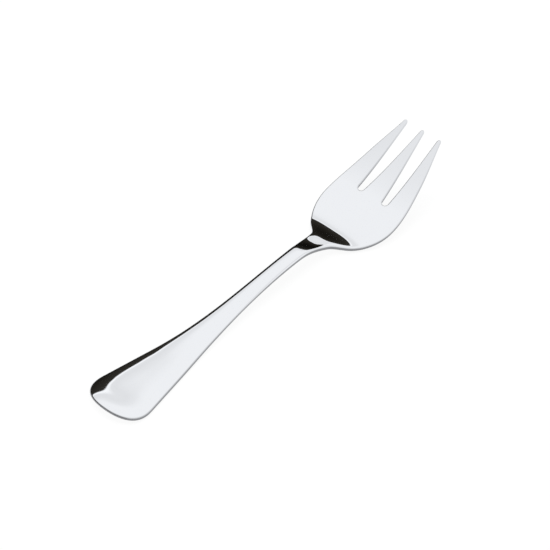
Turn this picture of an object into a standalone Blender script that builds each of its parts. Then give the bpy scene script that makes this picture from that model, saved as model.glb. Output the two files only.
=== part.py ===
"""A pastry fork with three tines, pressed from one strip of stainless steel.

The blank is drawn in plan, rolled thinner towards its ends, and bent along its side view.
X runs from the handle's end to the tine tips, Y across the fork and Z up. The fork lies as
on a table, on the flat under its handle and on the underside of its bowl, and the origin is
on the table under its middle.
"""

import bpy
import numpy as np

MM = 0.001

# Plan: full widths at stations along the fork, and lengths between stations; the stem takes the rest
LENGTH = 150.0 * MM
END_ROUND_LENGTH = 10.8 * MM
END_ROUND_FULLNESS = 2.2
HANDLE_WIDTH = 21.3 * MM
HANDLE_TO_GRIP = 10.8 * MM
GRIP_WIDTH = 17.4 * MM
GRIP_TO_STEM = 21.1 * MM
STEM_WIDTH = 10.2 * MM
NECK_WIDTH = 5.3 * MM
NECK_TO_HEEL = 15.2 * MM
HEEL_WIDTH = 8.2 * MM
HEEL_TO_SHOULDER = 5.7 * MM
SHOULDER_WIDTH = 18.7 * MM
SHOULDER_TO_CHEEK = 6.0 * MM
CHEEK_WIDTH = 26.1 * MM
CHEEK_TO_BOWL = 8.0 * MM
BOWL_WIDTH = 29.4 * MM
BOWL_TO_TINES = 16.0 * MM
TINES_WIDTH = 24.3 * MM
TINES_TO_TIPS = 15.0 * MM
TIPS_WIDTH = 15.8 * MM

# Slots between the tines, measured back from the tips and out from the middle line
SLOT_LENGTH = 25.5 * MM
SLOT_OFFSET = 5.25 * MM
SLOT_ROOT_RADIUS = 1.15 * MM
TIP_WIDTH = 1.65 * MM
TIP_ROUND_LENGTH = 0.9 * MM

# Side view of the underside: a turned-up end, a flat to rest on, the arch of the neck, the bowl
END_LIFT = 1.9 * MM
END_LIFT_LENGTH = 12.0 * MM
REST_LENGTH = 16.0 * MM
ARCH_HEIGHT = 4.0 * MM
NECK_TO_CREST = 4.05 * MM
CREST_TO_BOWL = 20.3 * MM
CREST_TO_BEND = 9.2 * MM
BEND_LENGTH = 45.9 * MM
TINE_SLOPE = 0.58

# Sections: thickness at the edges, the crown or hollow of the upper face, the cupped bowl
HANDLE_EDGE = 1.2 * MM
NECK_EDGE = 2.45 * MM
CREST_TO_THINNING = 11.85 * MM
THINNING_LENGTH = 8.4 * MM
BOWL_EDGE = 1.72 * MM
TIP_EDGE = 0.95 * MM
END_CROWN = 2.25 * MM
HANDLE_CROWN = 1.25 * MM
GRIP_CROWN = 0.99 * MM
STEM_CROWN = 0.76 * MM
NECK_CROWN = 0.9 * MM
CREST_TO_BROW = 7.3 * MM
BROW_HOLLOW = 0.47 * MM
BROW_TO_RIDGE = 4.9 * MM
RIDGE_CROWN = 0.54 * MM
SHOULDER_CROWN = 0.285 * MM
BOWL_CUP = 0.3 * MM
TIP_CUP = 0.2 * MM
CROWN_REACH = 8.6 * MM
CROWN_POWER = 2.55
NECK_BELLY = 0.3 * MM
EDGE_WIDTH = 0.6 * MM
EDGE_SHARE_OF_THICKNESS = 0.35
EDGE_SHARE_OF_TIP = 0.8
EDGE_ABOVE_WIDEST = 0.28

# Faces along, across and round the edge of half the fork, and points on each outline curve
END_ROWS = 6
HANDLE_ROWS = 16
BOWL_ROWS = 22
TINE_ROWS = 14
MIDDLE_COLUMNS = 3
SLOT_COLUMNS = 2
OUTER_COLUMNS = 4
EDGE_STEPS = 3
CURVE_STEPS = 24

STEEL_COLOUR = (0.78, 0.79, 0.80, 1.0)
STEEL_ROUGHNESS = 0.08

# Places along the fork, from the handle's end
GRIP_AT = END_ROUND_LENGTH + HANDLE_TO_GRIP
STEM_AT = GRIP_AT + GRIP_TO_STEM
TINES_AT = LENGTH - TINES_TO_TIPS
BOWL_AT = TINES_AT - BOWL_TO_TINES
CHEEK_AT = BOWL_AT - CHEEK_TO_BOWL
SHOULDER_AT = CHEEK_AT - SHOULDER_TO_CHEEK
HEEL_AT = SHOULDER_AT - HEEL_TO_SHOULDER
NECK_AT = HEEL_AT - NECK_TO_HEEL
REST_END_AT = END_LIFT_LENGTH + REST_LENGTH
CREST_AT = NECK_AT + NECK_TO_CREST
BROW_AT = CREST_AT + CREST_TO_BROW
RIDGE_AT = BROW_AT + BROW_TO_RIDGE
THINNING_AT = CREST_AT + CREST_TO_THINNING
BEND_AT = CREST_AT + CREST_TO_BEND
TIP_ROUND_AT = LENGTH - TIP_ROUND_LENGTH


def ramp(x, start, end):
    """Rise smoothly from 0 at start to 1 at end."""
    t = np.clip((x - start) / (end - start), 0.0, 1.0)
    return t * t * (3.0 - 2.0 * t)


def bent_up(x, start, end):
    """Height gained where the slope grows smoothly from 0 at start to 1 at end."""
    t = np.clip((x - start) / (end - start), 0.0, 1.0)
    return (end - start) * (t ** 3 - t ** 4 / 2.0) + np.maximum(x - end, 0.0)


def smooth_through(stations, values, x):
    """Smooth curve through the values at the stations, with no overshoot between them."""
    gap = np.diff(stations)
    rise = np.diff(values) / gap
    before, after = rise[:-1], rise[1:]
    slope = (gap[1:] * before + gap[:-1] * after) / (gap[1:] + gap[:-1])
    steepest = 3.0 * np.minimum(np.abs(before), np.abs(after))
    slope = np.where(before * after > 0.0, np.clip(slope, -steepest, steepest), 0.0)
    slope = np.concatenate([rise[:1], slope, rise[-1:]])
    i = np.clip(np.searchsorted(stations, x) - 1, 0, len(gap) - 1)
    t = (x - stations[i]) / gap[i]
    start = values[i] * (1.0 + 2.0 * t) + slope[i] * gap[i] * t
    end = values[i + 1] * (3.0 - 2.0 * t) - slope[i + 1] * gap[i] * (1.0 - t)
    return start * (1.0 - t) ** 2 + end * t ** 2


def side_width(x):
    """Half width between the sides, which run on past the handle's round end."""
    stations = np.array([END_ROUND_LENGTH, GRIP_AT, STEM_AT, NECK_AT, HEEL_AT, SHOULDER_AT,
                         CHEEK_AT, BOWL_AT, TINES_AT, LENGTH])
    widths = np.array([HANDLE_WIDTH, GRIP_WIDTH, STEM_WIDTH, NECK_WIDTH, HEEL_WIDTH, SHOULDER_WIDTH,
                       CHEEK_WIDTH, BOWL_WIDTH, TINES_WIDTH, TIPS_WIDTH])
    side = smooth_through(stations, widths / 2.0, np.maximum(x, END_ROUND_LENGTH))
    taper = (HANDLE_WIDTH - GRIP_WIDTH) / 2.0 / HANDLE_TO_GRIP
    return side + taper * np.maximum(END_ROUND_LENGTH - x, 0.0)


def into_round_end(x):
    """How far into the handle's round end x lies: 0 at its start and 1 at its tip."""
    return np.clip(1.0 - x / END_ROUND_LENGTH, 0.0, 1.0)


def half_width(x):
    """Half width of the blank, round at the handle's end."""
    return side_width(x) * (1.0 - into_round_end(x) ** END_ROUND_FULLNESS) ** (1.0 / END_ROUND_FULLNESS)


def arch_and_bend(x):
    """Height of the neck's arch and of the tines, before the bowl is pressed down."""
    arch = ramp(x, REST_END_AT, CREST_AT) - ramp(x, CREST_AT, CREST_AT + CREST_TO_BOWL)
    return ARCH_HEIGHT * arch + TINE_SLOPE * bent_up(x, BEND_AT, BEND_AT + BEND_LENGTH)


def underside(x):
    """Height of the underside's middle line, with the bowl pressed down onto the table."""
    bowl_x = np.linspace(CREST_AT, LENGTH, 20 * CURVE_STEPS)[1:]
    press = np.min(arch_and_bend(bowl_x) / ramp(bowl_x, CREST_AT, CREST_AT + CREST_TO_BOWL))
    lift = END_LIFT * np.clip(1.0 - x / END_LIFT_LENGTH, 0.0, 1.0) ** 3
    return lift + arch_and_bend(x) - press * ramp(x, CREST_AT, CREST_AT + CREST_TO_BOWL)


def edge_thickness(x):
    """Thickness of the steel at its edges."""
    to_neck = (NECK_EDGE - HANDLE_EDGE) * ramp(x, REST_END_AT, CREST_AT)
    to_bowl = (BOWL_EDGE - NECK_EDGE) * ramp(x, THINNING_AT, THINNING_AT + THINNING_LENGTH)
    to_tips = (TIP_EDGE - BOWL_EDGE) * ramp(x, CHEEK_AT, LENGTH)
    return HANDLE_EDGE + to_neck + to_bowl + to_tips


def crown(x):
    """Height of the upper face's middle above its edges, negative where the face is hollow."""
    stations = np.array([0.0, END_ROUND_LENGTH, GRIP_AT, STEM_AT, CREST_AT, BROW_AT, RIDGE_AT,
                         SHOULDER_AT, BOWL_AT, LENGTH])
    heights = np.array([END_CROWN, HANDLE_CROWN, GRIP_CROWN, STEM_CROWN, NECK_CROWN, -BROW_HOLLOW,
                        RIDGE_CROWN, SHOULDER_CROWN, -BOWL_CUP, -TIP_CUP])
    return smooth_through(stations, heights, x)


def surfaces(x, y):
    """Heights of the upper and the lower face."""
    side = side_width(np.minimum(x, TIP_ROUND_AT))
    across = (np.abs(y) / side) ** END_ROUND_FULLNESS + into_round_end(x) ** END_ROUND_FULLNESS
    across = np.minimum(across, 1.0) ** (1.0 / END_ROUND_FULLNESS)
    near_edge = np.maximum(1.0 - (1.0 - across) * side / np.minimum(side, CROWN_REACH), 0.0)
    cup = BOWL_CUP * ramp(x, HEEL_AT, BOWL_AT) + (TIP_CUP - BOWL_CUP) * ramp(x, BOWL_AT, LENGTH)
    belly = NECK_BELLY * (ramp(x, REST_END_AT, CREST_AT) - ramp(x, CREST_AT, SHOULDER_AT))
    bottom = underside(x) + (cup + belly) * across ** 2
    top = underside(x) + edge_thickness(x) + cup + crown(x) * (1.0 - near_edge ** CROWN_POWER)
    return top, bottom


def tangent_angle(centre, point, side):
    """Direction from a slot root's centre to where a line from the point touches the root."""
    away = point - centre
    direction = np.arctan2(away[1], away[0])
    return (direction + side * np.arccos(SLOT_ROOT_RADIUS / np.hypot(*away))) % (2.0 * np.pi)


def half_outline():
    """Outline of the left half, from the handle's end by the outer tine and the slot to the middle tip.

    It comes with the places of the face grid's corners: one on the handle's end, two on the
    outer tip, two on the slot's root and one on the middle tip.
    """
    quarter = np.linspace(0.0, np.pi / 2.0, 2 * CURVE_STEPS + 1)
    half = np.linspace(0.0, np.pi, 4 * CURVE_STEPS + 1)
    end_x = END_ROUND_LENGTH * (1.0 - np.cos(quarter[:-1]) ** (2.0 / END_ROUND_FULLNESS))
    side_x = np.linspace(END_ROUND_LENGTH, TIP_ROUND_AT, 12 * CURVE_STEPS + 1)
    end_and_side_x = np.concatenate([end_x, side_x])
    end_and_side = np.column_stack([end_and_side_x, half_width(end_and_side_x)])

    outer_y = end_and_side[-1, 1]
    inner_y = outer_y - TIP_WIDTH
    outer_tip = np.column_stack([TIP_ROUND_AT + TIP_ROUND_LENGTH * np.sin(half),
                                 inner_y + TIP_WIDTH / 2.0 * (1.0 + np.cos(half))])
    middle_tip = np.column_stack([TIP_ROUND_AT + TIP_ROUND_LENGTH * np.sin(quarter),
                                  TIP_WIDTH / 2.0 * np.cos(quarter)])

    root_centre = np.array([LENGTH - SLOT_LENGTH + SLOT_ROOT_RADIUS, SLOT_OFFSET])
    turn = np.linspace(tangent_angle(root_centre, outer_tip[-1], 1.0),
                       tangent_angle(root_centre, middle_tip[0], -1.0), 4 * CURVE_STEPS + 1)
    root = root_centre + SLOT_ROOT_RADIUS * np.column_stack([np.cos(turn), np.sin(turn)])
    along_wall = np.linspace(0.0, 1.0, CURVE_STEPS)[1:-1, None]
    outer_wall = outer_tip[-1] + (root[0] - outer_tip[-1]) * along_wall
    middle_wall = root[-1] + (middle_tip[0] - root[-1]) * along_wall

    curves = [end_and_side[:-1], outer_tip, outer_wall, root, middle_wall, middle_tip]
    starts = np.cumsum([0] + [len(curve) for curve in curves])
    corners = [CURVE_STEPS, starts[1] + CURVE_STEPS, starts[1] + 3 * CURVE_STEPS,
               starts[3] + CURVE_STEPS, starts[3] + 3 * CURVE_STEPS, starts[5] + CURVE_STEPS]
    return np.concatenate(curves), corners


def outward_normals(outline):
    """Unit normals that point out of the steel, square to the middle line at both ends."""
    tangent = np.gradient(outline, axis=0)
    normal = np.column_stack([-tangent[:, 1], tangent[:, 0]])
    normal /= np.linalg.norm(normal, axis=1)[:, None]
    normal[0] = (-1.0, 0.0)
    normal[-1] = (1.0, 0.0)
    return normal


def face_grid(outline, corners, edge):
    """Plan points over half the fork inside its edge, the quads between them, and their rim.

    Rows run across the fork and columns along it. The rim lists the outermost points in order
    round the fork, and comes with the steps from those points out over the edge to the outline.
    """
    inset = outline - edge
    end, outer_tip, inner_tip, outer_root, middle_root, middle_tip = corners

    def stretch(first, last, axis, values):
        """Inset points and edge steps between two places in the outline, where x or y has the values."""
        places = np.arange(first, last + 1)
        known = inset[places, axis]
        if known[0] > known[-1]:
            places, known = places[::-1], known[::-1]
        at = np.interp(values, known, places)
        every = np.arange(len(inset))
        picked = [np.interp(at, every, column) for column in (*inset.T, *edge.T)]
        return np.column_stack(picked[:2]), np.column_stack(picked[2:])

    # Handle, neck and bowl, from the round end to the slots' roots, with the flat as one strip
    start_x, root_x = inset[end, 0], inset[outer_root, 0]
    rows = np.concatenate([np.linspace(start_x, END_LIFT_LENGTH, END_ROWS + 1),
                           np.linspace(REST_END_AT, CREST_AT, HANDLE_ROWS, endpoint=False),
                           np.linspace(CREST_AT, root_x, BOWL_ROWS + 1)])
    share = np.linspace(0.0, 1.0, MIDDLE_COLUMNS + SLOT_COLUMNS + OUTER_COLUMNS + 1)
    side, side_edge = stretch(end, outer_tip, 0, rows)
    round_end, round_end_edge = stretch(0, end, 1, share * inset[end, 1])
    root_y = np.linspace(inset[middle_root, 1], inset[outer_root, 1], SLOT_COLUMNS + 1)
    root, root_edge = stretch(outer_root, middle_root, 1, root_y)
    middle_start = np.array([inset[middle_root, 0], 0.0])
    root_row = np.concatenate([np.linspace(middle_start, root[0], MIDDLE_COLUMNS, endpoint=False), root,
                               np.linspace(root[-1], side[-1], OUTER_COLUMNS + 1)[1:]])
    to_end = 1.0 - ramp(rows, start_x, END_LIFT_LENGTH)
    to_root = ramp(rows, CREST_AT, root_x)
    at_root = ramp(rows, root_x - SLOT_OFFSET, root_x)
    body_x = (rows[:, None] + np.outer(to_end, round_end[:, 0] - start_x)
              + np.outer(at_root, root_row[:, 0] - root_x))
    body_y = side[:, 1:] * (share + np.outer(to_root, root_row[:, 1] / root_row[-1, 1] - share))

    # Tines, from the slots' roots to the tips, with close rows at both ends
    steps = (1.0 - np.cos(np.linspace(0.0, np.pi, TINE_ROWS + 1))) / 2.0

    def tine_side(first, last, start, tip):
        """Points and edge steps along one side of a tine."""
        return stretch(first, last, 0, inset[start, 0] + (inset[tip, 0] - inset[start, 0]) * steps)

    def tine_face(inner, outer, tip):
        """Points between the two sides of a tine, drawn out to its round tip."""
        across = np.linspace(0.0, 1.0, len(tip))[:, None]
        face = inner[:, None] + (outer - inner)[:, None] * across
        return face + ramp(steps, steps[-3], 1.0)[:, None, None] * (tip - face[-1])

    tine_outside, tine_outside_edge = tine_side(end, outer_tip, outer_root, outer_tip)
    outer_wall, outer_wall_edge = tine_side(inner_tip, outer_root, outer_root, inner_tip)
    middle_wall, middle_wall_edge = tine_side(middle_root, middle_tip, middle_root, middle_tip)
    outer_y = np.linspace(inset[inner_tip, 1], inset[outer_tip, 1], OUTER_COLUMNS + 1)
    outer_end, outer_end_edge = stretch(outer_tip, inner_tip, 1, outer_y)
    middle_y = np.linspace(0.0, inset[middle_tip, 1], MIDDLE_COLUMNS + 1)
    middle_end, middle_end_edge = stretch(middle_tip, len(inset) - 1, 1, middle_y)
    middle_line = middle_start + (middle_end[0] - middle_start) * steps[:, None]
    outer_tine = tine_face(outer_wall, tine_outside, outer_end)
    middle_tine = tine_face(middle_line, middle_wall, middle_end)

    # Number the points: the tines' first rows are the body's last row
    points = np.concatenate([np.stack([body_x, body_y], -1).reshape(-1, 2),
                             middle_tine[1:].reshape(-1, 2), outer_tine[1:].reshape(-1, 2)])
    number = np.arange(len(points))
    tines_from = body_x.size
    outer_from = tines_from + middle_tine[1:, :, 0].size
    slot_columns = slice(MIDDLE_COLUMNS, MIDDLE_COLUMNS + SLOT_COLUMNS + 1)
    body = number[:tines_from].reshape(body_x.shape)
    middle = np.vstack([body[-1, :MIDDLE_COLUMNS + 1],
                        number[tines_from:outer_from].reshape(TINE_ROWS, -1)])
    outer = np.vstack([body[-1, -OUTER_COLUMNS - 1:], number[outer_from:].reshape(TINE_ROWS, -1)])
    quads = np.concatenate([
        np.stack([grid[:-1, :-1], grid[1:, :-1], grid[1:, 1:], grid[:-1, 1:]], -1).reshape(-1, 4)
        for grid in (body, middle, outer)])
    rim = np.concatenate([body[0], body[1:, -1], outer[1:, -1], outer[-1, -2::-1], outer[-2::-1, 0],
                          body[-1, slot_columns][-2::-1], middle[1:, -1], middle[-1, -2::-1]])
    rim_edge = np.concatenate([
        round_end_edge, side_edge[1:], tine_outside_edge[1:], outer_end_edge[-2::-1],
        outer_wall_edge[-2::-1], root_edge[-2::-1], middle_wall_edge[1:],
        middle_end_edge[-2::-1]])
    return points, quads, rim, rim_edge


def half_fork():
    """Vertices and faces of the fork's left half, open along the middle line."""
    outline, corners = half_outline()
    tip_short, tip_long = sorted([TIP_ROUND_LENGTH, TIP_WIDTH / 2.0])
    most = min(EDGE_WIDTH, EDGE_SHARE_OF_TIP * tip_short ** 2 / tip_long)
    edge_width = np.minimum(most, EDGE_SHARE_OF_THICKNESS * edge_thickness(outline[:, 0]))
    edge = edge_width[:, None] * outward_normals(outline)
    points, quads, rim, rim_edge = face_grid(outline, corners, edge)

    top, bottom = surfaces(*points.T)
    vertices = [np.column_stack([points, top]), np.column_stack([points, bottom])]
    faces = [quads, quads[:, ::-1] + len(points)]

    # Round edge between the two faces, widest near the upper one
    rings = [rim]
    for turn in np.linspace(np.pi / 2.0, -np.pi / 2.0, 2 * EDGE_STEPS + 1)[1:-1]:
        ring = points[rim] + np.cos(turn) * rim_edge
        ring_top, ring_bottom = surfaces(*ring.T)
        widest = ring_top - EDGE_ABOVE_WIDEST * (ring_top - ring_bottom)
        reach = ring_top - widest if turn > 0.0 else widest - ring_bottom
        height = widest + reach * np.sin(turn)
        rings.append(np.arange(len(rim)) + sum(map(len, vertices)))
        vertices.append(np.column_stack([ring, height]))
    rings.append(rim + len(points))
    for upper, lower in zip(rings, rings[1:]):
        faces.append(np.column_stack([upper[:-1], upper[1:], lower[1:], lower[:-1]]))

    vertices = np.concatenate(vertices)
    vertices[:, 0] -= LENGTH / 2.0
    return vertices, np.concatenate(faces)


def polished_steel():
    """Mirror-polished stainless steel."""
    material = bpy.data.materials.new("polished_steel")
    material.use_nodes = True
    shader = material.node_tree.nodes["Principled BSDF"]
    shader.inputs["Base Color"].default_value = STEEL_COLOUR
    shader.inputs["Roughness"].default_value = STEEL_ROUGHNESS
    shader.inputs["Metallic"].default_value = 1.0
    return material


def make_fork():
    """The whole fork: its left half, mirrored across the middle line."""
    vertices, faces = half_fork()
    mesh = bpy.data.meshes.new("fork")
    mesh.from_pydata(vertices.tolist(), [], faces.tolist())
    mesh.shade_smooth()
    mesh.materials.append(polished_steel())
    fork = bpy.data.objects.new("fork", mesh)
    bpy.context.scene.collection.objects.link(fork)
    mirror = fork.modifiers.new("right_half", "MIRROR")
    mirror.use_axis = (False, True, False)
    mirror.merge_threshold = 0.01 * MM
    return fork


for item in list(bpy.data.objects):
    bpy.data.objects.remove(item, do_unlink=True)
make_fork()
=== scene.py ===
import bpy
import numpy as np
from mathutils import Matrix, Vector


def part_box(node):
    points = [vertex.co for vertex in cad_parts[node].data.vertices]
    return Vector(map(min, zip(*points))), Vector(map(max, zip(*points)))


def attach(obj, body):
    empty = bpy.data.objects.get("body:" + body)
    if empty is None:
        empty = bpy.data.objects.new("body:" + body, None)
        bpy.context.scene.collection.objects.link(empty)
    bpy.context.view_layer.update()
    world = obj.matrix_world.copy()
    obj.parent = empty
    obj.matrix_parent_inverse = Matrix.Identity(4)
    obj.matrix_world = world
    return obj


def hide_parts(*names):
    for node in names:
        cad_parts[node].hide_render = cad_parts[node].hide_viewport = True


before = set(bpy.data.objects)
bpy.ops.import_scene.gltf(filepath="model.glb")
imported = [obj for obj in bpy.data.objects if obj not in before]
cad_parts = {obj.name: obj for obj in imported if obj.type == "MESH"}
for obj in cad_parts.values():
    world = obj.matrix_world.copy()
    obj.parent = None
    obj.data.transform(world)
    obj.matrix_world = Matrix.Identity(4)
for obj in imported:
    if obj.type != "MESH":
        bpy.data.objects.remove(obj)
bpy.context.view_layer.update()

# The blank: a strip of stainless steel cut to the fork's plan, with a wide round-ended handle, a slim
# neck, a broad head and two long slots that leave three tines. It is symmetric about its middle line.
MM = 0.001
low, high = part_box("fork")
LENGTH = high.x - low.x
BOWL_WIDTH = high.y - low.y
END_ROUND_LENGTH = 10.8 * MM
END_ROUND_FULLNESS = 2.2
HANDLE_WIDTH = 21.3 * MM
HANDLE_TO_GRIP = 10.8 * MM
GRIP_WIDTH = 17.4 * MM
GRIP_TO_STEM = 21.1 * MM
STEM_WIDTH = 10.2 * MM
NECK_WIDTH = 5.3 * MM
NECK_TO_HEEL = 15.2 * MM
HEEL_WIDTH = 8.2 * MM
HEEL_TO_SHOULDER = 5.7 * MM
SHOULDER_WIDTH = 18.7 * MM
SHOULDER_TO_CHEEK = 6.0 * MM
CHEEK_WIDTH = 26.1 * MM
CHEEK_TO_BOWL = 8.0 * MM
BOWL_TO_TINES = 16.0 * MM
TINES_WIDTH = 24.3 * MM
TINES_TO_TIPS = 15.0 * MM
TIPS_WIDTH = 15.8 * MM
SLOT_LENGTH = 25.5 * MM
SLOT_OFFSET = 5.25 * MM
SLOT_ROOT_RADIUS = 1.15 * MM
TIP_WIDTH = 1.65 * MM
TIP_ROUND_LENGTH = 0.9 * MM
CURVE_STEPS = 48
SIDE_STEPS = 12 * CURVE_STEPS

GRIP_AT = END_ROUND_LENGTH + HANDLE_TO_GRIP
STEM_AT = GRIP_AT + GRIP_TO_STEM
TINES_AT = LENGTH - TINES_TO_TIPS
BOWL_AT = TINES_AT - BOWL_TO_TINES
CHEEK_AT = BOWL_AT - CHEEK_TO_BOWL
SHOULDER_AT = CHEEK_AT - SHOULDER_TO_CHEEK
HEEL_AT = SHOULDER_AT - HEEL_TO_SHOULDER
NECK_AT = HEEL_AT - NECK_TO_HEEL
TIP_ROUND_AT = LENGTH - TIP_ROUND_LENGTH


def smooth_through(stations, values, x):
    """Smooth curve through the values at the stations, with no overshoot between them."""
    gap = np.diff(stations)
    rise = np.diff(values) / gap
    before, after = rise[:-1], rise[1:]
    slope = (gap[1:] * before + gap[:-1] * after) / (gap[1:] + gap[:-1])
    steepest = 3.0 * np.minimum(np.abs(before), np.abs(after))
    slope = np.where(before * after > 0.0, np.clip(slope, -steepest, steepest), 0.0)
    slope = np.concatenate([rise[:1], slope, rise[-1:]])
    i = np.clip(np.searchsorted(stations, x) - 1, 0, len(gap) - 1)
    t = (x - stations[i]) / gap[i]
    start = values[i] * (1.0 + 2.0 * t) + slope[i] * gap[i] * t
    end = values[i + 1] * (3.0 - 2.0 * t) - slope[i + 1] * gap[i] * (1.0 - t)
    return start * (1.0 - t) ** 2 + end * t ** 2


def side_width(x):
    """Half width between the sides, which run on past the handle's round end."""
    stations = np.array([END_ROUND_LENGTH, GRIP_AT, STEM_AT, NECK_AT, HEEL_AT, SHOULDER_AT,
                         CHEEK_AT, BOWL_AT, TINES_AT, LENGTH])
    widths = np.array([HANDLE_WIDTH, GRIP_WIDTH, STEM_WIDTH, NECK_WIDTH, HEEL_WIDTH, SHOULDER_WIDTH,
                       CHEEK_WIDTH, BOWL_WIDTH, TINES_WIDTH, TIPS_WIDTH])
    side = smooth_through(stations, widths / 2.0, np.maximum(x, END_ROUND_LENGTH))
    taper = (HANDLE_WIDTH - GRIP_WIDTH) / 2.0 / HANDLE_TO_GRIP
    return side + taper * np.maximum(END_ROUND_LENGTH - x, 0.0)


def into_round_end(x):
    """How far into the handle's round end x lies: 0 at its start and 1 at its tip."""
    return np.clip(1.0 - x / END_ROUND_LENGTH, 0.0, 1.0)


def half_width(x):
    """Half width of the blank, round at the handle's end."""
    return side_width(x) * (1.0 - into_round_end(x) ** END_ROUND_FULLNESS) ** (1.0 / END_ROUND_FULLNESS)


def tangent_angle(centre, point, side):
    """Direction from a slot root's centre to where a line from the point touches the root."""
    away = point - centre
    direction = np.arctan2(away[1], away[0])
    return (direction + side * np.arccos(SLOT_ROOT_RADIUS / np.hypot(*away))) % (2.0 * np.pi)


def half_outline():
    """Outline of the left half, from the handle's end by the outer tine and the slot to the middle tip.

    It comes with the places of the face grid's corners: one on the handle's end, two on the
    outer tip, two on the slot's root and one on the middle tip.
    """
    quarter = np.linspace(0.0, np.pi / 2.0, 2 * CURVE_STEPS + 1)
    half = np.linspace(0.0, np.pi, 4 * CURVE_STEPS + 1)
    end_x = END_ROUND_LENGTH * (1.0 - np.cos(quarter[:-1]) ** (2.0 / END_ROUND_FULLNESS))
    side_x = np.linspace(END_ROUND_LENGTH, TIP_ROUND_AT, SIDE_STEPS + 1)
    end_and_side_x = np.concatenate([end_x, side_x])
    end_and_side = np.column_stack([end_and_side_x, half_width(end_and_side_x)])

    outer_y = end_and_side[-1, 1]
    inner_y = outer_y - TIP_WIDTH
    outer_tip = np.column_stack([TIP_ROUND_AT + TIP_ROUND_LENGTH * np.sin(half),
                                 inner_y + TIP_WIDTH / 2.0 * (1.0 + np.cos(half))])
    middle_tip = np.column_stack([TIP_ROUND_AT + TIP_ROUND_LENGTH * np.sin(quarter),
                                  TIP_WIDTH / 2.0 * np.cos(quarter)])

    root_centre = np.array([LENGTH - SLOT_LENGTH + SLOT_ROOT_RADIUS, SLOT_OFFSET])
    turn = np.linspace(tangent_angle(root_centre, outer_tip[-1], 1.0),
                       tangent_angle(root_centre, middle_tip[0], -1.0), 4 * CURVE_STEPS + 1)
    root = root_centre + SLOT_ROOT_RADIUS * np.column_stack([np.cos(turn), np.sin(turn)])
    along_wall = np.linspace(0.0, 1.0, CURVE_STEPS)[1:-1, None]
    outer_wall = outer_tip[-1] + (root[0] - outer_tip[-1]) * along_wall
    middle_wall = root[-1] + (middle_tip[0] - root[-1]) * along_wall

    curves = [end_and_side[:-1], outer_tip, outer_wall, root, middle_wall, middle_tip]
    starts = np.cumsum([0] + [len(curve) for curve in curves])
    corners = [CURVE_STEPS, starts[1] + CURVE_STEPS, starts[1] + 3 * CURVE_STEPS,
               starts[3] + CURVE_STEPS, starts[3] + 3 * CURVE_STEPS, starts[5] + CURVE_STEPS]
    return np.concatenate(curves), corners


# The pressed form: the blank is rolled thinner towards its ends and pressed in a die, which turns the
# handle's end up, arches the neck, cups the bowl, bends the tines up and rounds the handle's upper face.
END_LIFT = 1.9 * MM
END_LIFT_LENGTH = 12.0 * MM
REST_LENGTH = 16.0 * MM
ARCH_HEIGHT = 4.0 * MM
NECK_TO_CREST = 4.05 * MM
CREST_TO_BOWL = 20.3 * MM
CREST_TO_BEND = 9.2 * MM
BEND_LENGTH = 45.9 * MM
TINE_SLOPE = 0.58
HANDLE_EDGE = 1.2 * MM
NECK_EDGE = 2.45 * MM
CREST_TO_THINNING = 11.85 * MM
THINNING_LENGTH = 8.4 * MM
BOWL_EDGE = 1.72 * MM
TIP_EDGE = 0.95 * MM
END_CROWN = 2.25 * MM
HANDLE_CROWN = 1.25 * MM
GRIP_CROWN = 0.99 * MM
STEM_CROWN = 0.76 * MM
NECK_CROWN = 0.9 * MM
CREST_TO_BROW = 7.3 * MM
BROW_HOLLOW = 0.47 * MM
BROW_TO_RIDGE = 4.9 * MM
RIDGE_CROWN = 0.54 * MM
SHOULDER_CROWN = 0.285 * MM
BOWL_CUP = 0.3 * MM
TIP_CUP = 0.2 * MM
CROWN_REACH = 8.6 * MM
CROWN_POWER = 2.55
NECK_BELLY = 0.3 * MM
PRESS_STEPS = 20 * CURVE_STEPS

REST_END_AT = END_LIFT_LENGTH + REST_LENGTH
CREST_AT = NECK_AT + NECK_TO_CREST
BROW_AT = CREST_AT + CREST_TO_BROW
RIDGE_AT = BROW_AT + BROW_TO_RIDGE
THINNING_AT = CREST_AT + CREST_TO_THINNING
BEND_AT = CREST_AT + CREST_TO_BEND


def ramp(x, start, end):
    """Rise smoothly from 0 at start to 1 at end."""
    t = np.clip((x - start) / (end - start), 0.0, 1.0)
    return t * t * (3.0 - 2.0 * t)


def bent_up(x, start, end):
    """Height gained where the slope grows smoothly from 0 at start to 1 at end."""
    t = np.clip((x - start) / (end - start), 0.0, 1.0)
    return (end - start) * (t ** 3 - t ** 4 / 2.0) + np.maximum(x - end, 0.0)


def arch_and_bend(x):
    """Height of the neck's arch and of the tines, before the bowl is pressed down."""
    arch = ramp(x, REST_END_AT, CREST_AT) - ramp(x, CREST_AT, CREST_AT + CREST_TO_BOWL)
    return ARCH_HEIGHT * arch + TINE_SLOPE * bent_up(x, BEND_AT, BEND_AT + BEND_LENGTH)


def underside(x):
    """Height of the underside's middle line, with the bowl pressed down onto the table."""
    bowl_x = np.linspace(CREST_AT, LENGTH, PRESS_STEPS)[1:]
    press = np.min(arch_and_bend(bowl_x) / ramp(bowl_x, CREST_AT, CREST_AT + CREST_TO_BOWL))
    lift = END_LIFT * np.clip(1.0 - x / END_LIFT_LENGTH, 0.0, 1.0) ** 3
    return lift + arch_and_bend(x) - press * ramp(x, CREST_AT, CREST_AT + CREST_TO_BOWL)


def edge_thickness(x):
    """Thickness of the steel at its edges."""
    to_neck = (NECK_EDGE - HANDLE_EDGE) * ramp(x, REST_END_AT, CREST_AT)
    to_bowl = (BOWL_EDGE - NECK_EDGE) * ramp(x, THINNING_AT, THINNING_AT + THINNING_LENGTH)
    to_tips = (TIP_EDGE - BOWL_EDGE) * ramp(x, CHEEK_AT, LENGTH)
    return HANDLE_EDGE + to_neck + to_bowl + to_tips


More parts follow.
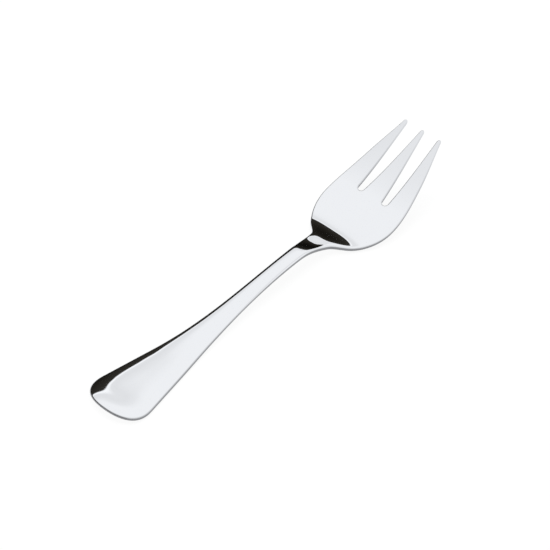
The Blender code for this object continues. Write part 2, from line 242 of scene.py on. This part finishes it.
def crown(x):
    """Height of the upper face's middle above its edges, negative where the face is hollow."""
    stations = np.array([0.0, END_ROUND_LENGTH, GRIP_AT, STEM_AT, CREST_AT, BROW_AT, RIDGE_AT,
                         SHOULDER_AT, BOWL_AT, LENGTH])
    heights = np.array([END_CROWN, HANDLE_CROWN, GRIP_CROWN, STEM_CROWN, NECK_CROWN, -BROW_HOLLOW,
                        RIDGE_CROWN, SHOULDER_CROWN, -BOWL_CUP, -TIP_CUP])
    return smooth_through(stations, heights, x)


def surfaces(x, y):
    """Heights of the upper and the lower face."""
    side = side_width(np.minimum(x, TIP_ROUND_AT))
    across = (np.abs(y) / side) ** END_ROUND_FULLNESS + into_round_end(x) ** END_ROUND_FULLNESS
    across = np.minimum(across, 1.0) ** (1.0 / END_ROUND_FULLNESS)
    near_edge = np.maximum(1.0 - (1.0 - across) * side / np.minimum(side, CROWN_REACH), 0.0)
    cup = BOWL_CUP * ramp(x, HEEL_AT, BOWL_AT) + (TIP_CUP - BOWL_CUP) * ramp(x, BOWL_AT, LENGTH)
    belly = NECK_BELLY * (ramp(x, REST_END_AT, CREST_AT) - ramp(x, CREST_AT, SHOULDER_AT))
    bottom = underside(x) + (cup + belly) * across ** 2
    top = underside(x) + edge_thickness(x) + cup + crown(x) * (1.0 - near_edge ** CROWN_POWER)
    return top, bottom


# The fork's surface: the upper and lower faces meet in a round edge, widest near the top and ground away
# below, where the polishing wheel hardly reaches. That lower part is also painted with shade, a dark grey
# that stands in for the shaded table it mirrors. Half of the fork is meshed as quads, in rows across it
# and columns along it, and mirrored over the middle line.
EDGE_WIDTH = 0.6 * MM
EDGE_SHARE_OF_THICKNESS = 0.35
EDGE_ABOVE_WIDEST = 0.28
GROUND_AND_SHADE_SHARE = 0.4
FULLY_GROUND_AND_SHADED_HEIGHT = 0.4 * MM
GROUND_AND_SHADE_HEIGHT = 1.0 * MM
TIP_BUFFING = 0.8
WEAR_HEIGHT = 0.6 * MM
END_ROWS = 20
REST_ROWS = 10
HANDLE_ROWS = 60
BOWL_ROWS = 60
TINE_ROWS = 44
TIP_ROWS = 7
MIDDLE_COLUMNS = 6
SLOT_COLUMNS = 6
OUTER_COLUMNS = 10
EDGE_STEPS = 8
MERGE_DISTANCE = 0.01 * MM


def outward_normals(outline):
    """Unit normals that point out of the steel, square to the middle line at both ends."""
    tangent = np.gradient(outline, axis=0)
    normal = np.column_stack([-tangent[:, 1], tangent[:, 0]])
    normal /= np.linalg.norm(normal, axis=1)[:, None]
    normal[0] = (-1.0, 0.0)
    normal[-1] = (1.0, 0.0)
    return normal


def face_grid(outline, corners, edge):
    """Plan points over half the fork inside its edge, the quads between them, and their rim.

    Rows run across the fork and columns along it. The rim lists the outermost points in order
    round the fork, and comes with the steps from those points out over the edge to the outline.
    """
    inset = outline - edge
    end, outer_tip, inner_tip, outer_root, middle_root, middle_tip = corners

    def stretch(first, last, axis, values):
        """Inset points and edge steps between two places in the outline, where x or y has the values."""
        places = np.arange(first, last + 1)
        known = inset[places, axis]
        if known[0] > known[-1]:
            places, known = places[::-1], known[::-1]
        at = np.interp(values, known, places)
        every = np.arange(len(inset))
        picked = [np.interp(at, every, column) for column in (*inset.T, *edge.T)]
        return np.column_stack(picked[:2]), np.column_stack(picked[2:])

    # Handle, neck and bowl, from the round end to the slots' roots
    start_x, root_x = inset[end, 0], inset[outer_root, 0]
    rows = np.concatenate([np.linspace(start_x, END_LIFT_LENGTH, END_ROWS, endpoint=False),
                           np.linspace(END_LIFT_LENGTH, REST_END_AT, REST_ROWS, endpoint=False),
                           np.linspace(REST_END_AT, CREST_AT, HANDLE_ROWS, endpoint=False),
                           np.linspace(CREST_AT, root_x, BOWL_ROWS + 1)])
    share = np.linspace(0.0, 1.0, MIDDLE_COLUMNS + SLOT_COLUMNS + OUTER_COLUMNS + 1)
    side, side_edge = stretch(end, outer_tip, 0, rows)
    round_end, round_end_edge = stretch(0, end, 1, share * inset[end, 1])
    root_y = np.linspace(inset[middle_root, 1], inset[outer_root, 1], SLOT_COLUMNS + 1)
    root, root_edge = stretch(outer_root, middle_root, 1, root_y)
    middle_start = np.array([inset[middle_root, 0], 0.0])
    root_row = np.concatenate([np.linspace(middle_start, root[0], MIDDLE_COLUMNS, endpoint=False), root,
                               np.linspace(root[-1], side[-1], OUTER_COLUMNS + 1)[1:]])
    to_end = 1.0 - ramp(rows, start_x, END_LIFT_LENGTH)
    to_root = ramp(rows, CREST_AT, root_x)
    at_root = ramp(rows, root_x - SLOT_OFFSET, root_x)
    body_x = (rows[:, None] + np.outer(to_end, round_end[:, 0] - start_x)
              + np.outer(at_root, root_row[:, 0] - root_x))
    body_y = side[:, 1:] * (share + np.outer(to_root, root_row[:, 1] / root_row[-1, 1] - share))

    # Tines, from the slots' roots to the tips, with close rows at both ends
    steps = (1.0 - np.cos(np.linspace(0.0, np.pi, TINE_ROWS + 1))) / 2.0

    def tine_side(first, last, start, tip):
        """Points and edge steps along one side of a tine."""
        return stretch(first, last, 0, inset[start, 0] + (inset[tip, 0] - inset[start, 0]) * steps)

    def tine_face(inner, outer, tip):
        """Points between the two sides of a tine, drawn out to its round tip."""
        across = np.linspace(0.0, 1.0, len(tip))[:, None]
        face = inner[:, None] + (outer - inner)[:, None] * across
        return face + ramp(steps, steps[-1 - TIP_ROWS], 1.0)[:, None, None] * (tip - face[-1])

    tine_outside, tine_outside_edge = tine_side(end, outer_tip, outer_root, outer_tip)
    outer_wall, outer_wall_edge = tine_side(inner_tip, outer_root, outer_root, inner_tip)
    middle_wall, middle_wall_edge = tine_side(middle_root, middle_tip, middle_root, middle_tip)
    outer_y = np.linspace(inset[inner_tip, 1], inset[outer_tip, 1], OUTER_COLUMNS + 1)
    outer_end, outer_end_edge = stretch(outer_tip, inner_tip, 1, outer_y)
    middle_y = np.linspace(0.0, inset[middle_tip, 1], MIDDLE_COLUMNS + 1)
    middle_end, middle_end_edge = stretch(middle_tip, len(inset) - 1, 1, middle_y)
    middle_line = middle_start + (middle_end[0] - middle_start) * steps[:, None]
    outer_tine = tine_face(outer_wall, tine_outside, outer_end)
    middle_tine = tine_face(middle_line, middle_wall, middle_end)

    # Number the points: the tines' first rows are the body's last row
    points = np.concatenate([np.stack([body_x, body_y], -1).reshape(-1, 2),
                             middle_tine[1:].reshape(-1, 2), outer_tine[1:].reshape(-1, 2)])
    number = np.arange(len(points))
    tines_from = body_x.size
    outer_from = tines_from + middle_tine[1:, :, 0].size
    slot_columns = slice(MIDDLE_COLUMNS, MIDDLE_COLUMNS + SLOT_COLUMNS + 1)
    body = number[:tines_from].reshape(body_x.shape)
    middle = np.vstack([body[-1, :MIDDLE_COLUMNS + 1],
                        number[tines_from:outer_from].reshape(TINE_ROWS, -1)])
    outer = np.vstack([body[-1, -OUTER_COLUMNS - 1:], number[outer_from:].reshape(TINE_ROWS, -1)])
    quads = np.concatenate([
        np.stack([grid[:-1, :-1], grid[1:, :-1], grid[1:, 1:], grid[:-1, 1:]], -1).reshape(-1, 4)
        for grid in (body, middle, outer)])
    rim = np.concatenate([body[0], body[1:, -1], outer[1:, -1], outer[-1, -2::-1], outer[-2::-1, 0],
                          body[-1, slot_columns][-2::-1], middle[1:, -1], middle[-1, -2::-1]])
    rim_edge = np.concatenate([
        round_end_edge, side_edge[1:], tine_outside_edge[1:], outer_end_edge[-2::-1],
        outer_wall_edge[-2::-1], root_edge[-2::-1], middle_wall_edge[1:], middle_end_edge[-2::-1]])
    return points, quads, rim, rim_edge


def half_fork():
    """Vertices and faces of the fork's left half, how far each vertex is ground and painted with shade,
    and how far it is worn by tables.
    """
    outline, corners = half_outline()
    edge_width = np.minimum(EDGE_WIDTH, EDGE_SHARE_OF_THICKNESS * edge_thickness(outline[:, 0]))
    edge = edge_width[:, None] * outward_normals(outline)
    points, quads, rim, rim_edge = face_grid(outline, corners, edge)

    top, bottom = surfaces(*points.T)
    vertices = [np.column_stack([points, top]), np.column_stack([points, bottom])]
    faces = [quads, quads[:, ::-1] + len(points)]
    ground_and_painted_shade = [np.zeros(2 * len(points))]
    worn = np.clip(1.0 - bottom / WEAR_HEIGHT, 0.0, 1.0)

    # Round edge between the two faces, widest near the upper one
    rings = [rim]
    for turn in np.linspace(np.pi / 2.0, -np.pi / 2.0, 2 * EDGE_STEPS + 1)[1:-1]:
        ring = points[rim] + np.cos(turn) * rim_edge
        ring_top, ring_bottom = surfaces(*ring.T)
        widest = ring_top - EDGE_ABOVE_WIDEST * (ring_top - ring_bottom)
        reach = ring_top - widest if turn > 0.0 else widest - ring_bottom
        height = widest + reach * np.sin(turn)
        rings.append(np.arange(len(rim)) + sum(map(len, vertices)))
        vertices.append(np.column_stack([ring, height]))
        # How far the lower part of the edge is ground and painted with shade, a dark grey for the
        # mirrored shaded table.
        above_ground_and_shade_share = height - ring_bottom - GROUND_AND_SHADE_SHARE * (ring_top - ring_bottom)
        kept = 1.0 - TIP_BUFFING * ramp(ring[:, 0], BOWL_AT, LENGTH)
        ground_and_painted_shade.append(kept * (1.0 - ramp(above_ground_and_shade_share, FULLY_GROUND_AND_SHADED_HEIGHT, GROUND_AND_SHADE_HEIGHT)))
    rings.append(rim + len(points))
    for upper, lower in zip(rings, rings[1:]):
        faces.append(np.column_stack([upper[:-1], upper[1:], lower[1:], lower[:-1]]))

    vertices = np.concatenate(vertices)
    vertices[:, 0] += low.x
    vertices[:, 2] = np.minimum(vertices[:, 2], high.z)
    ground_and_painted_shade = np.concatenate(ground_and_painted_shade)
    worn = np.concatenate([np.zeros(len(top)), worn, np.zeros(len(vertices) - 2 * len(top))])
    return vertices, np.concatenate(faces), ground_and_painted_shade, worn


vertices, faces, ground_and_painted_shade, worn = half_fork()
mesh = bpy.data.meshes.new("pressed_fork")
mesh.from_pydata(vertices.tolist(), [], faces.tolist())
# This mask marks the ground lower edge, which the steel's colour paints with shade as well as roughening
# it.
mesh.attributes.new("ground_edge_and_painted_shade", "FLOAT", "POINT").data.foreach_set("value", ground_and_painted_shade)
mesh.attributes.new("table_wear", "FLOAT", "POINT").data.foreach_set("value", worn)
mesh.shade_smooth()
pressed_fork = bpy.data.objects.new("pressed_fork", mesh)
bpy.context.scene.collection.objects.link(pressed_fork)
right_half = pressed_fork.modifiers.new("right_half", "MIRROR")
right_half.use_axis = (False, True, False)
right_half.merge_threshold = MERGE_DISTANCE
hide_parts("fork")
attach(pressed_fork, "root")

# The polish: the pressed fork is buffed lengthwise to a mirror, over faces that still wave a little from
# the die. Hairlines of the buffing wheel remain, the lower part of the edge keeps the rougher finish of
# its grinding and gets a painted shade, a dark grey that stands in for the shaded table it mirrors, less
# so towards the tips, and fine scratches mark the places underneath that rest on tables.
STEEL = (0.848, 0.866, 0.897, 1.0)
HAZY_STEEL = (0.835, 0.849, 0.876, 1.0)
# Painted shade: a dark grey on the edge's lower part that stands in for the shaded table it mirrors.
GROUND_STEEL_AND_PAINTED_SHADE = (0.240, 0.244, 0.257, 1.0)
MIRROR_ROUGHNESS = 0.03
HAIRLINE_ROUGHNESS = 0.03
SCRATCH_ROUGHNESS = 0.25
SCRATCH_TURNS = (0.9, -0.4)
SCRATCH_START = 0.64
SCRATCH_FULL = 0.70
GROUND_ROUGHNESS = 0.25
WAVE_HEIGHT = 0.012 * MM
HAIRLINE_HEIGHT = 0.0004 * MM
WAVE_SCALE = (130.0, 170.0, 170.0)
HAZE_SCALE = (45.0, 80.0, 80.0)
HAZE_TURN = 0.3
HAIRLINE_SCALE = (30.0, 2500.0, 2500.0)
SCRATCH_SCALE = (90.0, 5000.0, 5000.0)
NOISE_ROUGHNESS = 0.6


def new_node(tree, kind, values=None, **settings):
    """A node of that kind, with its settings and its named input values."""
    node = tree.nodes.new(kind)
    for name, setting in settings.items():
        setattr(node, name, setting)
    for name, value in (values or {}).items():
        node.inputs[name].default_value = value
    return node


steel = bpy.data.materials.new("mirror_polished_steel")
steel.use_nodes = True
tree = steel.node_tree
shader = tree.nodes["Principled BSDF"]
shader.inputs["Metallic"].default_value = 1.0
place = new_node(tree, "ShaderNodeTexCoord")


def steel_noise(scale, detail, turn=0.0):
    """Noise in the steel, with its own scale along, across and through the fork."""
    grain = new_node(tree, "ShaderNodeMapping", {"Scale": scale, "Rotation": (0.0, 0.0, turn)})
    noise = new_node(tree, "ShaderNodeTexNoise", {"Scale": 1.0, "Detail": detail,
                                                  "Roughness": NOISE_ROUGHNESS})
    tree.links.new(place.outputs["Object"], grain.inputs["Vector"])
    tree.links.new(grain.outputs["Vector"], noise.inputs["Vector"])
    return noise.outputs["Fac"]


def times_plus(factor, times, plus):
    """The factor times one value plus another; each of these is a number or a socket."""
    node = new_node(tree, "ShaderNodeMath", operation="MULTIPLY_ADD")
    for socket, value in zip(node.inputs, (factor, times, plus)):
        if isinstance(value, float):
            socket.default_value = value
        else:
            tree.links.new(value, socket)
    return node.outputs["Value"]


waves = steel_noise(WAVE_SCALE, detail=1.0)
haze = steel_noise(HAZE_SCALE, detail=3.0, turn=HAZE_TURN)
hairlines = steel_noise(HAIRLINE_SCALE, detail=4.0)
ground_edge_and_painted_shade = new_node(tree, "ShaderNodeAttribute", attribute_name="ground_edge_and_painted_shade").outputs["Fac"]
table_wear = new_node(tree, "ShaderNodeAttribute", attribute_name="table_wear").outputs["Fac"]
scratches = []
for turn in SCRATCH_TURNS:
    scratch = new_node(tree, "ShaderNodeMapRange", {"From Min": SCRATCH_START, "From Max": SCRATCH_FULL})
    tree.links.new(steel_noise(SCRATCH_SCALE, detail=1.0, turn=turn), scratch.inputs["Value"])
    scratches.append(times_plus(scratch.outputs["Result"], table_wear, 0.0))

roughness = times_plus(hairlines, HAIRLINE_ROUGHNESS, MIRROR_ROUGHNESS)
roughness = times_plus(ground_edge_and_painted_shade, GROUND_ROUGHNESS, roughness)
for scratch in scratches:
    roughness = times_plus(scratch, SCRATCH_ROUGHNESS, roughness)
tree.links.new(roughness, shader.inputs["Roughness"])

hazy = new_node(tree, "ShaderNodeMix", data_type="RGBA")
hazy.inputs["A"].default_value = STEEL
hazy.inputs["B"].default_value = HAZY_STEEL
tree.links.new(haze, hazy.inputs["Factor"])
# Painted shade: the edge's lower part is tinted dark grey by its mask.
ground_and_shade_tint = new_node(tree, "ShaderNodeMix", data_type="RGBA")
ground_and_shade_tint.inputs["B"].default_value = GROUND_STEEL_AND_PAINTED_SHADE
tree.links.new(ground_edge_and_painted_shade, ground_and_shade_tint.inputs["Factor"])
tree.links.new(hazy.outputs["Result"], ground_and_shade_tint.inputs["A"])
tree.links.new(ground_and_shade_tint.outputs["Result"], shader.inputs["Base Color"])

wavy = new_node(tree, "ShaderNodeBump", {"Distance": WAVE_HEIGHT})
brushed = new_node(tree, "ShaderNodeBump", {"Distance": HAIRLINE_HEIGHT})
tree.links.new(waves, wavy.inputs["Height"])
tree.links.new(hairlines, brushed.inputs["Height"])
tree.links.new(wavy.outputs["Normal"], brushed.inputs["Normal"])
tree.links.new(brushed.outputs["Normal"], shader.inputs["Normal"])
mesh.materials.append(steel)

# The table: a plain white sheet of matte paper, laid flat and wide enough to run out of every view. It
# glows a little, so that it looks evenly white and keeps only a faint shadow of the fork.
TABLE_SIZE = 4.0
TABLE_WHITE = (0.92, 0.92, 0.92, 1.0)
TABLE_GLOW = 0.9

mesh = bpy.data.meshes.new("table")
reach = TABLE_SIZE / 2.0
mesh.from_pydata([(-reach, -reach, 0.0), (reach, -reach, 0.0), (reach, reach, 0.0), (-reach, reach, 0.0)],
                 [], [(0, 1, 2, 3)])
table = bpy.data.objects.new("table", mesh)
bpy.context.scene.collection.objects.link(table)
paper = bpy.data.materials.new("white_paper")
paper.use_nodes = True
tree = paper.node_tree
shader = tree.nodes["Principled BSDF"]
shader.inputs["Base Color"].default_value = TABLE_WHITE
shader.inputs["Roughness"].default_value = 1.0
shader.inputs["Specular IOR Level"].default_value = 0.0
glow = new_node(tree, "ShaderNodeEmission", {"Strength": 1.0})
ray = new_node(tree, "ShaderNodeLightPath")
seen = new_node(tree, "ShaderNodeMath", operation="MAXIMUM")
seen_through = new_node(tree, "ShaderNodeMath", operation="MAXIMUM")
share = new_node(tree, "ShaderNodeMath", operation="MULTIPLY")
share.inputs[1].default_value = TABLE_GLOW
mix = new_node(tree, "ShaderNodeMixShader")
tree.links.new(ray.outputs["Is Camera Ray"], seen.inputs[0])
tree.links.new(ray.outputs["Is Glossy Ray"], seen.inputs[1])
tree.links.new(seen.outputs["Value"], seen_through.inputs[0])
tree.links.new(ray.outputs["Is Transmission Ray"], seen_through.inputs[1])
tree.links.new(seen_through.outputs["Value"], share.inputs[0])
tree.links.new(share.outputs["Value"], mix.inputs["Fac"])
tree.links.new(shader.outputs["BSDF"], mix.inputs[1])
tree.links.new(glow.outputs["Emission"], mix.inputs[2])
tree.links.new(mix.outputs["Shader"], tree.nodes["Material Output"].inputs["Surface"])
mesh.materials.append(paper)

# The studio: a white tent lit from above and a little dimmer behind the handle. A dark room shows under
# its lower edge, with a pale wall on the right. All this is the world, so that the steel mirrors it
# from every side, and one large lamp casts the soft shadow.
MIRRORED_BY_ELEVATION = [
    (0.0, (0.004, 0.0035, 0.003)),
    (16.0, (0.016, 0.014, 0.011)),
    (30.0, (0.032, 0.029, 0.024)),
    (31.0, (1.12, 1.12, 1.12)),
    (32.0, (1.12, 1.12, 1.12)),
    (34.0, (0.88, 0.88, 0.88)),
    (38.0, (0.87, 0.87, 0.87)),
    (44.0, (0.92, 0.92, 0.92)),
    (48.0, (0.98, 0.98, 0.98)),
    (52.0, (1.01, 1.01, 1.01)),
]
DIM_LEVEL = 0.80
DIM_REACH = 0.6
WALL_DIRECTION = np.radians(-65.0)
WALL_START = 0.2
WALL_FULL = 0.45
WALL_FOOT_LEVEL = 0.8
WALL_TOP_LEVEL = 1.0
WALL_TOP = 0.5
FILL_LEVEL = 0.75
LAMP_POWER = 14.0
LAMP_SIZE = 1.2
LAMP_PLACE = (0.25, 0.35, 1.3)

world = bpy.data.worlds.new("studio")
bpy.context.scene.world = world
world.use_nodes = True
tree = world.node_tree
background = tree.nodes["Background"]
place = new_node(tree, "ShaderNodeTexCoord")
split = new_node(tree, "ShaderNodeSeparateXYZ")
tree.links.new(place.outputs["Generated"], split.inputs["Vector"])
tent = new_node(tree, "ShaderNodeValToRGB")
stops = tent.color_ramp.elements
stops.remove(stops[-1])
stops[0].color = (*MIRRORED_BY_ELEVATION[0][1], 1.0)
for elevation, colour in MIRRORED_BY_ELEVATION[1:]:
    stops.new(np.sin(np.radians(elevation))).color = (*colour, 1.0)
tree.links.new(split.outputs["Z"], tent.inputs["Fac"])
dim = new_node(tree, "ShaderNodeMapRange", {"From Min": -DIM_REACH, "From Max": 0.0, "To Min": DIM_LEVEL})
dimmed = new_node(tree, "ShaderNodeVectorMath", operation="SCALE")
tree.links.new(split.outputs["X"], dim.inputs["Value"])
tree.links.new(tent.outputs["Color"], dimmed.inputs["Vector"])
tree.links.new(dim.outputs["Result"], dimmed.inputs["Scale"])
towards_wall = new_node(tree, "ShaderNodeVectorMath", operation="DOT_PRODUCT")
towards_wall.inputs[1].default_value = (np.cos(WALL_DIRECTION), np.sin(WALL_DIRECTION), 0.0)
wall_share = new_node(tree, "ShaderNodeMapRange", {"From Min": WALL_START, "From Max": WALL_FULL})
wall = new_node(tree, "ShaderNodeMapRange", {"From Max": WALL_TOP, "To Min": WALL_FOOT_LEVEL,
                                             "To Max": WALL_TOP_LEVEL})
surroundings = new_node(tree, "ShaderNodeMix", data_type="RGBA", blend_type="LIGHTEN")
tree.links.new(place.outputs["Generated"], towards_wall.inputs[0])
tree.links.new(towards_wall.outputs["Value"], wall_share.inputs["Value"])
tree.links.new(split.outputs["Z"], wall.inputs["Value"])
tree.links.new(wall_share.outputs["Result"], surroundings.inputs["Factor"])
tree.links.new(dimmed.outputs["Vector"], surroundings.inputs["A"])
tree.links.new(wall.outputs["Result"], surroundings.inputs["B"])
ray = new_node(tree, "ShaderNodeLightPath")
mirrored = new_node(tree, "ShaderNodeMix", data_type="RGBA")
mirrored.inputs["A"].default_value = (FILL_LEVEL, FILL_LEVEL, FILL_LEVEL, 1.0)
tree.links.new(ray.outputs["Is Glossy Ray"], mirrored.inputs["Factor"])
tree.links.new(surroundings.outputs["Result"], mirrored.inputs["B"])
seen = new_node(tree, "ShaderNodeMix", data_type="RGBA")
seen.inputs["B"].default_value = (1.0, 1.0, 1.0, 1.0)
tree.links.new(ray.outputs["Is Camera Ray"], seen.inputs["Factor"])
tree.links.new(mirrored.outputs["Result"], seen.inputs["A"])
tree.links.new(seen.outputs["Result"], background.inputs["Color"])

lamp = bpy.data.objects.new("lamp", bpy.data.lights.new("lamp", "AREA"))
bpy.context.scene.collection.objects.link(lamp)
lamp.data.energy = LAMP_POWER
lamp.data.size = LAMP_SIZE
lamp.location = LAMP_PLACE
lamp.rotation_euler = (-Vector(LAMP_PLACE)).to_track_quat("-Z", "Y").to_euler()
lamp.visible_glossy = False

# The camera: a long lens that looks down on the fork from beside its handle, far enough away to show
# both ends at nearly the same scale.
CAMERA_AZIMUTH = np.radians(-47.0)
CAMERA_ELEVATION = np.radians(45.63)
CAMERA_DISTANCE = 1.0
CAMERA_LENS = 202.3
CAMERA_TARGET = Vector((5.29 * MM, 2.10 * MM, 0.0))

camera = bpy.data.objects.new("camera", bpy.data.cameras.new("camera"))
bpy.context.scene.collection.objects.link(camera)
away = Vector((np.sin(CAMERA_AZIMUTH) * np.cos(CAMERA_ELEVATION),
               -np.cos(CAMERA_AZIMUTH) * np.cos(CAMERA_ELEVATION), np.sin(CAMERA_ELEVATION)))
camera.location = CAMERA_TARGET + CAMERA_DISTANCE * away
camera.rotation_euler = (-away).to_track_quat("-Z", "Y").to_euler()
camera.data.lens = CAMERA_LENS
bpy.context.scene.camera = camera
bpy.context.scene.view_settings.view_transform = "Standard"
